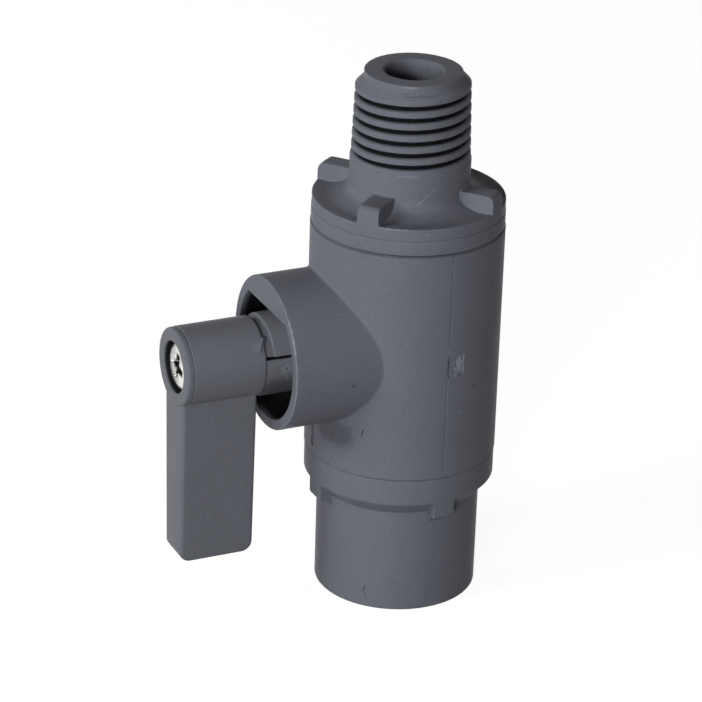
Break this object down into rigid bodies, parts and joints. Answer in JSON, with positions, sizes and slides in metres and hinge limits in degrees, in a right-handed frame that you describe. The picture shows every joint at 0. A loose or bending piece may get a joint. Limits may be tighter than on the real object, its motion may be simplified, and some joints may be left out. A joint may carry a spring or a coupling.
{
  "type": "two-way ball valve",
  "caption": "Straight plastic ball valve: male taper-threaded top end, female threaded bottom end and a quarter-turn lever handle on a side stem in a round collar.",
  "frame": {"origin": "centre of the female end's face, on the flow axis", "axes": "+Z along the flow axis, from the female end to the male end; -X out along the stem to the handle; the lever points down (-Z) when the valve is open"},
  "size_m": [0.0406, 0.0228, 0.065],
  "materials": {
    "moulded_body": "satin moulded grey PVC",
    "moulded_connector": "satin moulded grey PVC",
    "moulded_handle": "satin moulded grey PVC",
    "ball_plastic": "smooth turned grey PVC",
    "seat_plastic": "waxy white PTFE",
    "seal_rubber": "black elastomer",
    "stainless_screw": "bright stainless steel"
  },
  "bodies": {
    "valve_body": {"body": "moulded_body", "male_end_connector": "moulded_connector", "female_end_connector": "moulded_connector", "upper_ball_seat": "seat_plastic", "lower_ball_seat": "seat_plastic", "upper_seat_cushion_ring": "seal_rubber", "lower_seat_cushion_ring": "seal_rubber", "upper_body_seal_ring": "seal_rubber", "lower_body_seal_ring": "seal_rubber"},
    "handle_and_stem": {"handle": "moulded_handle", "handle_screw": "stainless_screw", "stop_collar": "moulded_handle", "stem": "ball_plastic", "stem_thrust_washer": "seat_plastic", "inner_stem_seal_ring": "seal_rubber", "outer_stem_seal_ring": "seal_rubber"},
    "ball_plug": {"ball": "ball_plastic"}
  },
  "joints": [
    {"name": "handle_turn", "type": "hinge", "parent": "valve_body", "child": "handle_and_stem", "pos_m": [0, 0, 0.03225], "axis": [1, 0, 0], "range_deg": [0, 90]},
    {"name": "ball_turn", "type": "hinge", "parent": "valve_body", "child": "ball_plug", "pos_m": [0, 0, 0.03225], "axis": [1, 0, 0], "range_deg": [0, 90]}
  ],
  "couplings": [
    {"joint": "ball_turn", "follows": "handle_turn", "ratio": 1}
  ]
}
